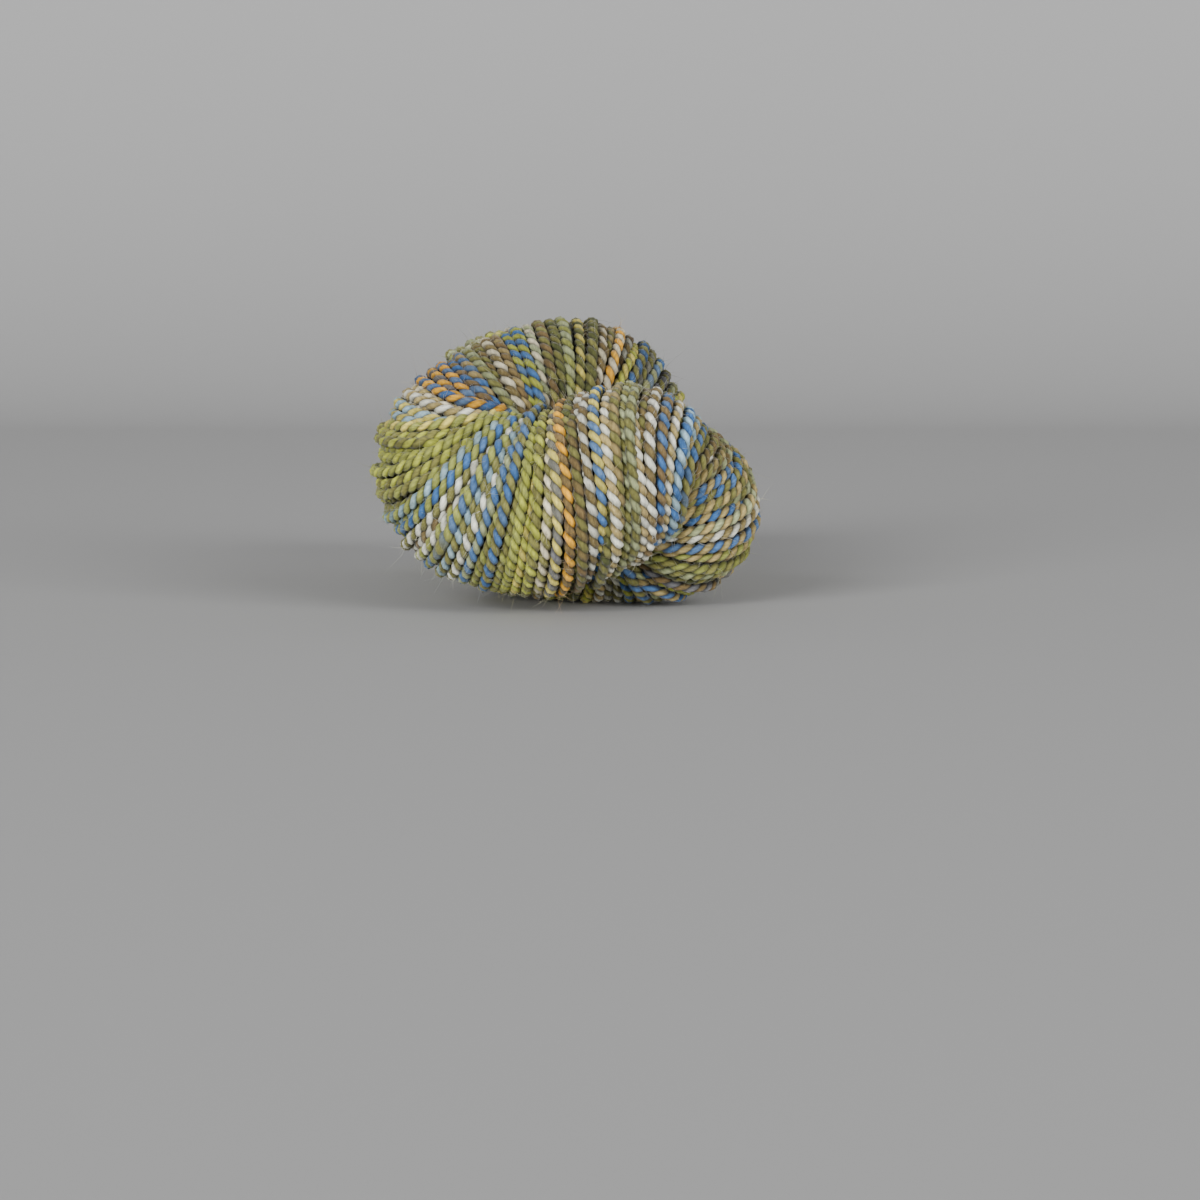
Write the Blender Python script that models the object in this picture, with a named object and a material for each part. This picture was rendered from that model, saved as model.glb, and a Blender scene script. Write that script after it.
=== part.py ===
"""A twisted yarn hank at rest on a table, in metres, with +Z up.

The yarn of a hank is one thick bundle that runs round a long closed loop. The loop is twisted about its
length, so its two halves wind round each other and meet in a rounded fold at each end. The front fold faces
-Y. The solid is the bundle swept round that loop, a core that fills the hollow between the halves, and flat
spots where the hank rests.
"""

import math

import bmesh
import bpy
import numpy as np

# The loop of the bundle's middle, before it is twisted.
LOOP_LENGTH = 0.165  # from the middle of the front fold to the middle of the far fold
BEND_LENGTH = 0.076  # length of bundle that turns round in each fold
BODY_OFFSET = 0.0174  # from the hank's long axis to the bundle's middle, along the body
LEFT_BULGE = 0.0151  # how much further out the front fold's left half goes
LEFT_BULGE_AT = 0.013  # distance of that bulge from the front end of the loop
LEFT_BULGE_SPREAD = 0.021
RIGHT_BULGE = 0.0176
RIGHT_BULGE_AT = 0.036
RIGHT_BULGE_SPREAD = 0.016
RIGHT_PINCH = 0.0028  # how much the right half is drawn in at the front
RIGHT_PINCH_SPREAD = 0.012
FAR_BULGE = 0.0116
FAR_BULGE_AT = 0.010  # from the far end
FAR_BULGE_SPREAD = 0.022
BODY_RISE = 0.0146  # height of the bundle's middle over the hank's axis, where it passes over
FRONT_RISE = 0.0012  # how much more that is where the left half first passes over
FRONT_RISE_AT = 0.040
FRONT_RISE_SPREAD = 0.024

# The twist of the two halves round each other.
TWIST_PITCH = 0.1025  # length of the hank for one full turn
FRONT_ANGLE = 53.0  # degrees: turn of the loop at the front fold

# The hank's axis over the table, which is lower at both folds and lies further left along the body.
MIDDLE_HEIGHT = 0.0357
FRONT_DROOP = 0.0041
FRONT_SPREAD = 0.040
FRONT_LIFT = 0.0008  # how much higher it is under the first pass
FAR_DROOP = 0.0038
FAR_DROOP_SPREAD = 0.030
RIGHT_DROP = 0.0043  # how far the right half sags behind the front fold
RIGHT_DROP_AT = 0.0163
RIGHT_DROP_SPREAD = 0.008
FRONT_SHIFT = 0.0048
BODY_SHIFT = -0.0075

# The bundle's section, and how it settles under its own weight.
BODY_RADIUS = 0.0175
FRONT_RADIUS = 0.0204
FAR_RADIUS = 0.0187
RADIUS_SPREAD = 0.050
RIGHT_THINNING = 0.0052  # how much thinner the right half is where it leaves the front fold
RIGHT_THINNING_AT = 0.0105
RIGHT_THINNING_SPREAD = 0.009
SETTLE_ABOVE = 0.95  # height of the section over its middle, as a share of the radius
SETTLE_BELOW = 1.05  # the same below its middle, where it sags

# The core and the table.
CORE_RADIUS = 0.0100
CORE_INSET = 0.020  # from the middle of each fold to the core's end
CORE_ROUND = 0.012
CORE_END_CLOSING = 0.9  # how far the core's rounded ends close
TABLE_BLOCK = 0.5

# Mesh steps.
LOOP_SAMPLES = 1200
LOOP_RINGS = 400
SECTION_POINTS = 72
FOLD_RING_SHARE = 1.2  # how much closer the rings are round a fold than along the body
FOLD_RING_SPREAD = 0.030
CORE_RINGS = 24
CORE_POINTS = 20
FUSE_STEP = 0.0008
EASE_FACTOR = 0.5
EASE_ROUNDS = 6
SKIN_TRIANGLES = 11000

YARN_COLOUR = (0.30, 0.31, 0.16, 1.0)
YARN_ROUGHNESS = 0.9


def clear_scene():
    for old in list(bpy.data.objects):
        bpy.data.objects.remove(old, do_unlink=True)


def bell(distance, spread):
    """A smooth 1 at distance 0 that fades over spread."""
    return np.exp(-((distance / spread) ** 2))


def running_sum(values, step):
    """Integral of samples that are one step apart, from the first one on."""
    return np.concatenate([[0.0], np.cumsum((values[1:] + values[:-1]) / 2) * step])


def flat_loop():
    """Sideways share (-1 to 1) and distance from the front fold's middle, once round the untwisted loop."""
    reach = BEND_LENGTH / 2
    bend = np.linspace(0.0, reach, LOOP_SAMPLES)
    heading = (bend * math.pi / reach + np.sin(math.pi * bend / reach)) / 2
    side = running_sum(np.cos(heading), bend[1])
    depth = running_sum(np.sin(heading), bend[1])
    straight = np.linspace(depth[-1], LOOP_LENGTH - depth[-1], LOOP_SAMPLES)[1:-1]
    half_side = np.concatenate([side, np.full(straight.shape, side[-1]), side[::-1]]) / side[-1]
    half_depth = np.concatenate([depth, straight, LOOP_LENGTH - depth[::-1]])
    return (
        np.concatenate([half_side[:-1], -half_side[::-1][:-1]]),
        np.concatenate([half_depth[:-1], half_depth[::-1][:-1]]),
    )


def axis_at(depth):
    """Sideways place and height of the hank's long axis at a distance from the front fold."""
    front = bell(depth, FRONT_SPREAD)
    across = FRONT_SHIFT * front + BODY_SHIFT * (1 - front)
    far = bell(LOOP_LENGTH - depth, FAR_DROOP_SPREAD)
    first_pass = bell(depth - FRONT_RISE_AT, FRONT_RISE_SPREAD)
    return across, MIDDLE_HEIGHT - FRONT_DROOP * front + FRONT_LIFT * first_pass - FAR_DROOP * far


def twisted_loop():
    """Points of the bundle's middle once round the loop, with the bundle's radius at each."""
    side, depth = flat_loop()
    from_far = LOOP_LENGTH - depth
    right = (1 + side) / 2
    right = right * right * (3 - 2 * right)
    offset = BODY_OFFSET + FAR_BULGE * bell(from_far - FAR_BULGE_AT, FAR_BULGE_SPREAD)
    offset = offset + (1 - right) * LEFT_BULGE * bell(depth - LEFT_BULGE_AT, LEFT_BULGE_SPREAD)
    offset = offset + right * RIGHT_BULGE * bell(depth - RIGHT_BULGE_AT, RIGHT_BULGE_SPREAD)
    offset = offset - right * RIGHT_PINCH * bell(depth, RIGHT_PINCH_SPREAD)
    rise = BODY_RISE + FRONT_RISE * bell(depth - FRONT_RISE_AT, FRONT_RISE_SPREAD)
    angle = math.radians(FRONT_ANGLE) - 2 * math.pi * depth / TWIST_PITCH
    axis_across, axis_height = axis_at(depth)
    across = axis_across + offset * side * np.cos(angle)
    height = axis_height + rise * side * np.sin(angle)
    height = height - right * RIGHT_DROP * bell(depth - RIGHT_DROP_AT, RIGHT_DROP_SPREAD)
    radius = BODY_RADIUS + (FRONT_RADIUS - BODY_RADIUS) * bell(depth, RADIUS_SPREAD)
    radius = radius + (FAR_RADIUS - BODY_RADIUS) * bell(from_far, RADIUS_SPREAD)
    radius = radius - right * RIGHT_THINNING * bell(depth - RIGHT_THINNING_AT, RIGHT_THINNING_SPREAD)
    return np.column_stack([across, depth, height]), radius


def spaced(points, radius, count):
    """The same closed loop as count points, closer together round the folds."""
    closed = np.vstack([points, points[:1]])
    from_end = np.minimum(points[:, 1], LOOP_LENGTH - points[:, 1])
    closer = 1 + FOLD_RING_SHARE * bell(from_end, FOLD_RING_SPREAD)
    step = np.linalg.norm(np.diff(closed, axis=0), axis=1) * closer
    along = np.concatenate([[0.0], np.cumsum(step)])
    wanted = np.linspace(0.0, along[-1], count, endpoint=False)
    closed_radius = np.append(radius, radius[0])
    return (
        np.column_stack([np.interp(wanted, along, closed[:, k]) for k in range(3)]),
        np.interp(wanted, along, closed_radius),
    )


def section_frames(points):
    """Two unit directions across the bundle at each point, turned evenly so that the last meets the first."""
    forward = np.roll(points, -1, axis=0) - np.roll(points, 1, axis=0)
    forward /= np.linalg.norm(forward, axis=1)[:, None]
    first = np.zeros_like(points)
    guide = np.array([0.0, -1.0, 0.0])
    for k, ahead in enumerate(forward):
        guide = guide - ahead * (guide @ ahead)
        guide = guide / np.linalg.norm(guide)
        first[k] = guide
    second = np.cross(forward, first)
    last = first[-1] - forward[0] * (first[-1] @ forward[0])
    gap = math.atan2(last @ second[0], last @ first[0])
    turn = (-gap * np.arange(len(points)) / len(points))[:, None]
    return first * np.cos(turn) + second * np.sin(turn), second * np.cos(turn) - first * np.sin(turn)


def settled(points, middle_height):
    """Points of a section with their height settled about the section's middle."""
    rise = points[..., 2] - middle_height
    share = np.where(rise > 0, SETTLE_ABOVE, SETTLE_BELOW)
    return np.concatenate([points[..., :2], (middle_height + rise * share)[..., None]], axis=-1)


def ring_faces(rings, points, closed):
    """Quads between rings of points, and round the last ring to the first where the sweep is closed."""
    faces = []
    for ring in range(rings if closed else rings - 1):
        after = (ring + 1) % rings
        for k in range(points):
            nxt = (k + 1) % points
            faces.append((ring * points + k, ring * points + nxt, after * points + nxt, after * points + k))
    return faces


def add_solid(name, points, faces):
    """A mesh object whose faces look outwards."""
    mesh = bpy.data.meshes.new(name)
    mesh.from_pydata([tuple(p) for p in points], [], faces)
    shape = bmesh.new()
    shape.from_mesh(mesh)
    bmesh.ops.recalc_face_normals(shape, faces=shape.faces)
    if shape.calc_volume(signed=True) < 0:
        bmesh.ops.reverse_faces(shape, faces=shape.faces)
    shape.to_mesh(mesh)
    shape.free()
    solid = bpy.data.objects.new(name, mesh)
    bpy.context.scene.collection.objects.link(solid)
    return solid


def bundle_mesh():
    """Points and faces of the yarn bundle swept once round the twisted loop."""
    points, radius = spaced(*twisted_loop(), LOOP_RINGS)
    first, second = section_frames(points)
    angle = np.linspace(0.0, 2 * math.pi, SECTION_POINTS, endpoint=False)
    spoke = np.cos(angle)[None, :, None] * first[:, None] + np.sin(angle)[None, :, None] * second[:, None]
    rings = points[:, None] + radius[:, None, None] * spoke
    rings = settled(rings, points[:, None, 2])
    return rings.reshape(-1, 3), ring_faces(LOOP_RINGS, SECTION_POINTS, True)


def core_mesh():
    """Points and faces of a rounded rod along the hank's axis, which fills the hollow between the halves."""
    share = np.linspace(0.0, 1.0, CORE_RINGS)
    length = LOOP_LENGTH - 2 * CORE_INSET
    depth = CORE_INSET + share * length
    from_end = np.minimum(share, 1 - share) * length
    inward = np.clip(1 - from_end / CORE_ROUND, 0.0, CORE_END_CLOSING)
    radius = CORE_RADIUS * np.sqrt(1 - inward**2)
    angle = np.linspace(0.0, 2 * math.pi, CORE_POINTS, endpoint=False)
    across, height = axis_at(depth)
    rings = np.stack(
        [
            across[:, None] + radius[:, None] * np.cos(angle),
            np.repeat(depth[:, None], CORE_POINTS, axis=1),
            height[:, None] + radius[:, None] * np.sin(angle),
        ],
        axis=-1,
    )
    faces = ring_faces(CORE_RINGS, CORE_POINTS, False)
    faces.append(tuple(range(CORE_POINTS)))
    faces.append(tuple((CORE_RINGS - 1) * CORE_POINTS + k for k in reversed(range(CORE_POINTS))))
    return rings.reshape(-1, 3), faces


def build_hank():
    """The bundle and its core as one skin."""
    bundle, bundle_faces = bundle_mesh()
    core, core_faces = core_mesh()
    core_faces = [tuple(k + len(bundle) for k in face) for face in core_faces]
    hank = add_solid("hank", np.vstack([bundle, core]), bundle_faces + core_faces)
    fuse(hank)
    return hank


def build_table():
    """The block under the table top, which leaves the flat spots where it is cut away."""
    half = TABLE_BLOCK / 2
    corners = [(x, y, z) for x in (-half, half) for y in (-half, half + LOOP_LENGTH) for z in (-half, 0.0)]
    faces = [(0, 1, 3, 2), (4, 6, 7, 5), (0, 4, 5, 1), (2, 3, 7, 6), (0, 2, 6, 4), (1, 5, 7, 3)]
    return add_solid("table", corners, faces)


def apply_modifiers(solid):
    """Keeps the mesh that the solid's modifiers make, and removes them."""
    bpy.context.view_layer.update()
    graph = bpy.context.evaluated_depsgraph_get()
    made = bpy.data.meshes.new_from_object(solid.evaluated_get(graph), depsgraph=graph)
    solid.modifiers.clear()
    solid.data = made


def fuse(solid):
    """Makes one skin of a mesh whose pieces run into each other, with about SKIN_TRIANGLES triangles."""
    fused = solid.modifiers.new("fused", "REMESH")
    fused.mode = "VOXEL"
    fused.voxel_size = FUSE_STEP
    eased = solid.modifiers.new("eased", "SMOOTH")
    eased.factor = EASE_FACTOR
    eased.iterations = EASE_ROUNDS
    apply_modifiers(solid)
    solid.data.calc_loop_triangles()
    thinned = solid.modifiers.new("thinned", "DECIMATE")
    thinned.ratio = SKIN_TRIANGLES / len(solid.data.loop_triangles)
    apply_modifiers(solid)


def cut_away(solid, tool):
    """Cuts tool from solid and removes the tool."""
    cut = solid.modifiers.new("cut", "BOOLEAN")
    cut.operation = "DIFFERENCE"
    cut.solver = "EXACT"
    cut.object = tool
    apply_modifiers(solid)
    bpy.data.objects.remove(tool, do_unlink=True)


def yarn_material():
    yarn = bpy.data.materials.new("yarn")
    yarn.use_nodes = True
    shader = yarn.node_tree.nodes["Principled BSDF"]
    shader.inputs["Base Color"].default_value = YARN_COLOUR
    shader.inputs["Roughness"].default_value = YARN_ROUGHNESS
    return yarn


def centre_on_base(solid):
    """Moves the mesh so that its box's middle is over the origin and its base is at height 0."""
    points = np.array([vertex.co for vertex in solid.data.vertices])
    low, high = points.min(axis=0), points.max(axis=0)
    shift = np.array([(low[0] + high[0]) / 2, (low[1] + high[1]) / 2, low[2]])
    for vertex, point in zip(solid.data.vertices, points):
        vertex.co = point - shift


def main():
    clear_scene()
    hank = build_hank()
    cut_away(hank, build_table())
    centre_on_base(hank)
    hank.data.materials.clear()
    hank.data.materials.append(yarn_material())
    for face in hank.data.polygons:
        face.use_smooth = True


main()
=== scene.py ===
"""Looks of a twisted yarn hank: its wound strands of plied yarn, stray fibres, floor, light and camera."""

import logging
import math
from dataclasses import dataclass, field
from enum import Enum
from typing import Any, Callable, Iterable

import bpy
import numpy as np
from mathutils import Matrix, Vector

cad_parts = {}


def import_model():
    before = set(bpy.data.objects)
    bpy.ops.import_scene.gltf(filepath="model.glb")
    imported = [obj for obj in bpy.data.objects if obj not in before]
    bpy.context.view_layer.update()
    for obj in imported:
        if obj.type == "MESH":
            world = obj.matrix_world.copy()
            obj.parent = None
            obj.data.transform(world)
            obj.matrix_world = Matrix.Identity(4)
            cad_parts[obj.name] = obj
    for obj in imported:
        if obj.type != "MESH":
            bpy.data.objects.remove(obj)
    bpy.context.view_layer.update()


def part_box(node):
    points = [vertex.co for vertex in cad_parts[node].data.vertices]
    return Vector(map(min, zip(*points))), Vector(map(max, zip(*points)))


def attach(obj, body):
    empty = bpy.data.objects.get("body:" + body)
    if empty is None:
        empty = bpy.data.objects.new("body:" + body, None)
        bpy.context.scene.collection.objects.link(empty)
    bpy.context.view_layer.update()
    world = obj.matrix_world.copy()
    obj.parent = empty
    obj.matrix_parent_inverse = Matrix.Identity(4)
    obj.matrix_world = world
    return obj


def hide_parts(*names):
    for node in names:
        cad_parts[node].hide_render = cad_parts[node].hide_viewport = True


LOG = logging.getLogger("hank")
MM = 0.001
FULL_TURN = 2 * math.pi
NODE = "hank"
BODY = "root"
FLOOR_GAP = 0.02 * MM
STRIP_WIDTH = 1.2 * FULL_TURN * MM
STRIP_SPARE = 1.06
STRIP_EDGE = 0.04
SHORTEST_STRIP = 8
FEWEST_RINGS = 12
STRAND_MARK = 0.37
Array = np.ndarray


class Dye(Enum):
    """Colours of the yarn's plies, as screen values."""

    OLIVE = (0.49, 0.48, 0.26)
    MOSS = (0.32, 0.34, 0.19)
    LIME = (0.69, 0.71, 0.27)
    LEAF = (0.59, 0.61, 0.30)
    YELLOW = (0.84, 0.78, 0.38)
    SAGE = (0.64, 0.67, 0.50)
    CREAM = (0.87, 0.83, 0.71)
    FOG = (0.87, 0.87, 0.81)
    TAN = (0.67, 0.59, 0.38)
    BROWN = (0.47, 0.39, 0.25)
    GOLD = (0.97, 0.70, 0.15)
    DENIM = (0.24, 0.42, 0.64)
    SKY = (0.57, 0.69, 0.74)
    SLATE = (0.42, 0.42, 0.43)

    def light(self) -> tuple[float, float, float]:
        """The colour as linear light."""
        return tuple(c / 12.92 if c <= 0.04045 else ((c + 0.055) / 1.055) ** 2.4 for c in self.value)


Pair = tuple[Dye, Dye]


def pairs_of(words: str) -> tuple[Pair, ...]:
    """Pairs of dyes from their names, each pair written as one word with a hyphen."""
    return tuple(tuple(Dye[name.upper()] for name in word.split("-")) for word in words.split())


# The two plies of each strand that crosses the front fold, from the one at its middle to the right.
RIGHT_PAIRS = pairs_of("""
    denim-yellow fog-tan sage-olive fog-tan fog-brown denim-brown fog-tan denim-sky sky-tan denim-olive
    olive-moss brown-olive fog-tan tan-olive brown-sage denim-tan denim-olive tan-olive denim-tan
    sage-tan fog-tan denim-tan tan-leaf leaf-olive olive-sage slate-tan slate-brown denim-olive
""")
# The same from the middle to the left, over the left lobe and then along the top from left to right.
LEFT_PAIRS = pairs_of("""
    fog-brown moss-olive gold-brown slate-yellow cream-olive lime-olive lime-yellow lime-leaf leaf-olive
    denim-olive leaf-olive denim-sage fog-olive sky-olive denim-leaf fog-leaf fog-olive denim-leaf
    sky-leaf leaf-olive lime-olive lime-leaf leaf-lime lime-olive leaf-yellow sky-yellow fog-tan
    cream-tan denim-gold gold-slate denim-gold denim-brown denim-tan olive-sage olive-brown cream-brown
    brown-tan denim-lime lime-denim sage-cream olive-brown olive-moss sage-leaf yellow-moss olive-moss
    cream-brown gold-cream yellow-lime denim-olive olive-slate denim-sage slate-olive sage-olive
""")
# Duller pairs of the strands that show between the others where these are stretched apart.
FILL_PAIRS = pairs_of("""
    olive-moss tan-olive sage-olive brown-olive slate-olive leaf-moss olive-brown fog-brown
""")
# Pairs that the rest of the yarn is spun from, the common ones more than once.
SPUN_PAIRS = pairs_of("""
    olive-sage lime-olive leaf-lime denim-olive fog-olive cream-brown sky-leaf tan-olive gold-brown
    denim-lime sage-cream fog-tan moss-olive slate-sage lime-yellow denim-tan
""")


def bell(distance: Array, spread: float) -> Array:
    """A smooth 1 at distance 0 that fades over spread."""
    return np.exp(-((distance / spread) ** 2))


def running_sum(values: Array, step: float) -> Array:
    """Integral of samples that are one step apart, from the first one on."""
    return np.concatenate([[0.0], np.cumsum((values[1:] + values[:-1]) / 2) * step])


def unit(vectors: Array) -> Array:
    """The vectors at length 1."""
    return vectors / np.maximum(np.linalg.norm(vectors, axis=-1, keepdims=True), 1e-12)


def ease(values: Array) -> Array:
    """Smooth step of values from 0 to 1."""
    held = np.clip(values, 0.0, 1.0)
    return held * held * (3 - 2 * held)


def ripple(count: int, waves: Iterable[int], draw: np.random.Generator) -> Array:
    """Sum of waves round a closed strand, each of a chance place and height.

    Args:
        count: How many samples the strand has.
        waves: How often each wave goes up and down.
        draw: Source of chance.

    Returns:
        The height at each sample.
    """
    total = np.zeros(count)
    for wave in waves:
        angle = np.arange(count) / count * FULL_TURN * wave + draw.uniform(0, FULL_TURN)
        total = total + draw.normal() * np.sin(angle)
    return total


def tube_faces(rings: int, sides: int, closed: bool) -> Array:
    """Vertex numbers of the side faces of a tube.

    Args:
        rings: How many rings it has.
        sides: How many points are in a ring.
        closed: Whether the last ring meets the first.

    Returns:
        One row of four a face.
    """
    ring = np.arange(rings if closed else rings - 1)[:, None]
    side = np.arange(sides)[None]
    after, beside = (ring + 1) % rings, (side + 1) % sides
    corners = (ring * sides + side, ring * sides + beside, after * sides + beside, after * sides + side)
    return np.stack(corners, axis=-1).reshape(-1, 4)


def corner_map(*corners: tuple[Array, Array]) -> Array:
    """Map coordinates of faces, one row a corner, from the two coordinates of each of the four corners."""
    return np.stack([np.stack(pair, axis=-1) for pair in corners], axis=2).reshape(-1, 2)


def mesh_object(name: str, points: Array, faces: list[Array], maps: dict[str, Array] | None = None,
                values: dict[str, Array] | None = None) -> bpy.types.Object:
    """Makes a smooth mesh.

    Args:
        name: The object's name.
        points: Its vertices.
        faces: Vertex numbers, in arrays of faces with equally many corners.
        maps: Map coordinates of each corner, by the map's name.
        values: A number or a colour for each vertex, by its name.

    Returns:
        The object, linked to the scene.
    """
    mesh = bpy.data.meshes.new(name)
    mesh.vertices.add(len(points))
    mesh.vertices.foreach_set("co", points.astype(np.float32).ravel())
    loops = np.concatenate([part.ravel() for part in faces]).astype(np.int32)
    mesh.loops.add(len(loops))
    mesh.loops.foreach_set("vertex_index", loops)
    corners = np.concatenate([np.full(len(part), part.shape[1]) for part in faces])
    mesh.polygons.add(len(corners))
    mesh.polygons.foreach_set("loop_start", (np.cumsum(corners) - corners).astype(np.int32))
    mesh.polygons.foreach_set("use_smooth", np.ones(len(corners), bool))
    for label, places in (maps or {}).items():
        mesh.uv_layers.new(name=label).uv.foreach_set("vector", places.astype(np.float32).ravel())
    for label, amounts in (values or {}).items():
        kind, key = ("FLOAT", "value") if amounts.ndim == 1 else ("FLOAT_COLOR", "color")
        if amounts.ndim == 2:
            amounts = np.column_stack([amounts, np.ones(len(amounts))])
        made = mesh.attributes.new(label, kind, "POINT")
        made.data.foreach_set(key, amounts.astype(np.float32).ravel())
    mesh.update(calc_edges=True)
    mesh.validate()
    piece = bpy.data.objects.new(name, mesh)
    bpy.context.scene.collection.objects.link(piece)
    return piece


@dataclass(frozen=True)
class Bump:
    """A smooth swelling of some size along the hank."""

    size: float
    at: float
    spread: float

    def of(self, distance: Array) -> Array:
        """Its height at each distance."""
        return self.size * bell(distance - self.at, self.spread)


@dataclass(frozen=True)
class Loop:
    """The closed loop that the yarn bundle's middle follows, with the sizes of the solid hank."""

    length: float = 165 * MM
    bend_length: float = 76 * MM
    body_offset: float = 17.4 * MM
    left_bulge: Bump = Bump(15.1 * MM, 13 * MM, 21 * MM)
    right_bulge: Bump = Bump(17.6 * MM, 36 * MM, 16 * MM)
    right_pinch: Bump = Bump(2.8 * MM, 0.0, 12 * MM)
    far_bulge: Bump = Bump(11.6 * MM, 10 * MM, 22 * MM)
    body_rise: float = 14.6 * MM
    front_rise: Bump = Bump(1.2 * MM, 40 * MM, 24 * MM)
    pitch: float = 102.5 * MM
    front_angle: float = 53.0
    middle_height: float = 35.7 * MM
    front_droop: Bump = Bump(4.1 * MM, 0.0, 40 * MM)
    front_lift: Bump = Bump(0.8 * MM, 40 * MM, 24 * MM)
    far_droop: Bump = Bump(3.8 * MM, 0.0, 30 * MM)
    right_drop: Bump = Bump(4.3 * MM, 16.3 * MM, 8 * MM)
    body_shift: float = -7.5 * MM
    front_shift: Bump = Bump(12.3 * MM, 0.0, 40 * MM)
    body_radius: float = 17.5 * MM
    front_swell: Bump = Bump(2.9 * MM, 0.0, 50 * MM)
    far_swell: Bump = Bump(1.2 * MM, 0.0, 50 * MM)
    right_thinning: Bump = Bump(5.2 * MM, 10.5 * MM, 9 * MM)
    samples: int = 1200

    def flat(self) -> tuple[Array, Array]:
        """Sideways share and distance from the front fold, once round the loop before it is twisted.

        Returns:
            The share from -1 to 1, and the distance in metres.
        """
        reach = self.bend_length / 2
        bend = np.linspace(0.0, reach, self.samples)
        heading = (bend * math.pi / reach + np.sin(math.pi * bend / reach)) / 2
        side = running_sum(np.cos(heading), bend[1])
        depth = running_sum(np.sin(heading), bend[1])
        straight = np.linspace(depth[-1], self.length - depth[-1], self.samples)[1:-1]
        half_side = np.concatenate([side, np.full(straight.shape, side[-1]), side[::-1]]) / side[-1]
        half_depth = np.concatenate([depth, straight, self.length - depth[::-1]])
        return (
            np.concatenate([half_side[:-1], -half_side[::-1][:-1]]),
            np.concatenate([half_depth[:-1], half_depth[::-1][:-1]]),
        )

    def axis(self, depth: Array) -> tuple[Array, Array]:
        """Where the hank's long axis is.

        Args:
            depth: Distances from the front fold.

        Returns:
            Its sideways place and its height at each.
        """
        far = self.far_droop.of(self.length - depth)
        height = self.middle_height - self.front_droop.of(depth) + self.front_lift.of(depth) - far
        return self.body_shift + self.front_shift.of(depth), height

    def middle(self, count: int) -> tuple[Array, Array, float]:
        """Evenly spaced points of the bundle's middle.

        Args:
            count: How many points.

        Returns:
            The points, the bundle's radius at each, and the loop's length.
        """
        side, depth = self.flat()
        from_far = self.length - depth
        right = ease((1 + side) / 2)
        offset = self.body_offset + self.far_bulge.of(from_far) + (1 - right) * self.left_bulge.of(depth)
        offset = offset + right * (self.right_bulge.of(depth) - self.right_pinch.of(depth))
        rise = self.body_rise + self.front_rise.of(depth)
        angle = math.radians(self.front_angle) - FULL_TURN * depth / self.pitch
        axis_across, axis_height = self.axis(depth)
        across = axis_across + offset * side * np.cos(angle)
        height = axis_height + rise * side * np.sin(angle) - right * self.right_drop.of(depth)
        radius = self.body_radius + self.front_swell.of(depth) + self.far_swell.of(from_far)
        radius = radius - right * self.right_thinning.of(depth)
        points = np.column_stack([across, depth, height])
        closed = np.vstack([points, points[:1]])
        along = np.concatenate([[0.0], np.cumsum(np.linalg.norm(np.diff(closed, axis=0), axis=1))])
        wanted = np.linspace(0.0, along[-1], count, endpoint=False)
        even = np.column_stack([np.interp(wanted, along, closed[:, k]) for k in range(3)])
        return even, np.interp(wanted, along, np.append(radius, radius[0])), float(along[-1])


@dataclass(frozen=True)
class Layer:
    """One layer of strands round the bundle."""

    share: float
    count: int
    sides: int
    rings_per_twist: int


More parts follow.
